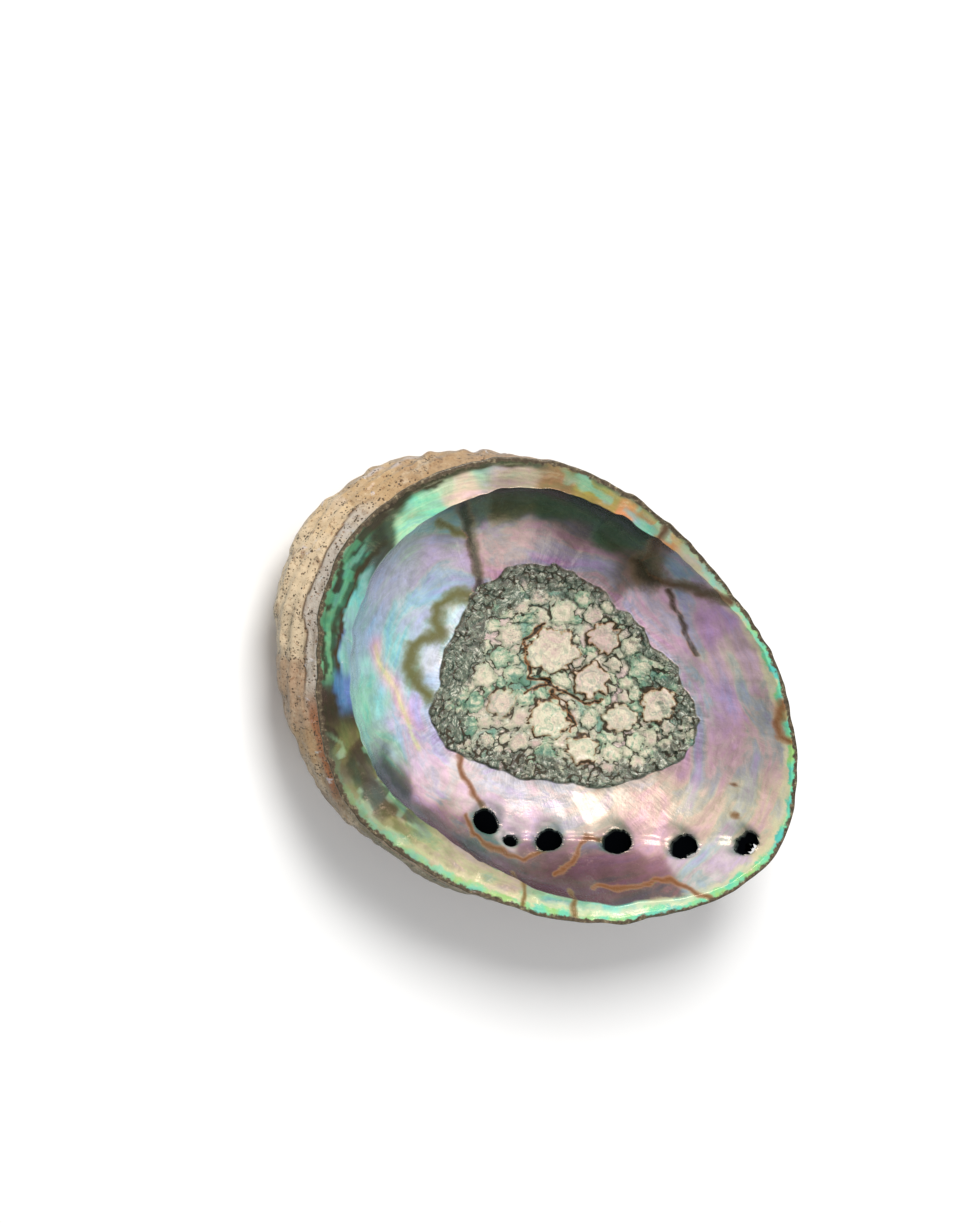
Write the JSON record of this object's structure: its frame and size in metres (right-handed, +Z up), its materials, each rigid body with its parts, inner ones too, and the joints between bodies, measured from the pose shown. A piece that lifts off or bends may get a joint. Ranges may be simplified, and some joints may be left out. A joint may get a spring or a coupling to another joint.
{
  "type": "abalone shell",
  "caption": "Large ear-shaped abalone shell lying on its back: a shallow nacre-lined bowl with a flat inner lip, a row of open pores and a frilled muscle scar.",
  "frame": {"origin": "on the ground under the middle of the shell's outline", "axes": "+X along the shell's length towards the thin growing edge, +Z up out of the bowl"},
  "size_m": [0.1608, 0.1186, 0.0429],
  "materials": {
    "nacre": "polished iridescent nacre inside, matt pitted crust outside"
  },
  "bodies": {
    "root": {"shell": "nacre"}
  },
  "joints": []
}
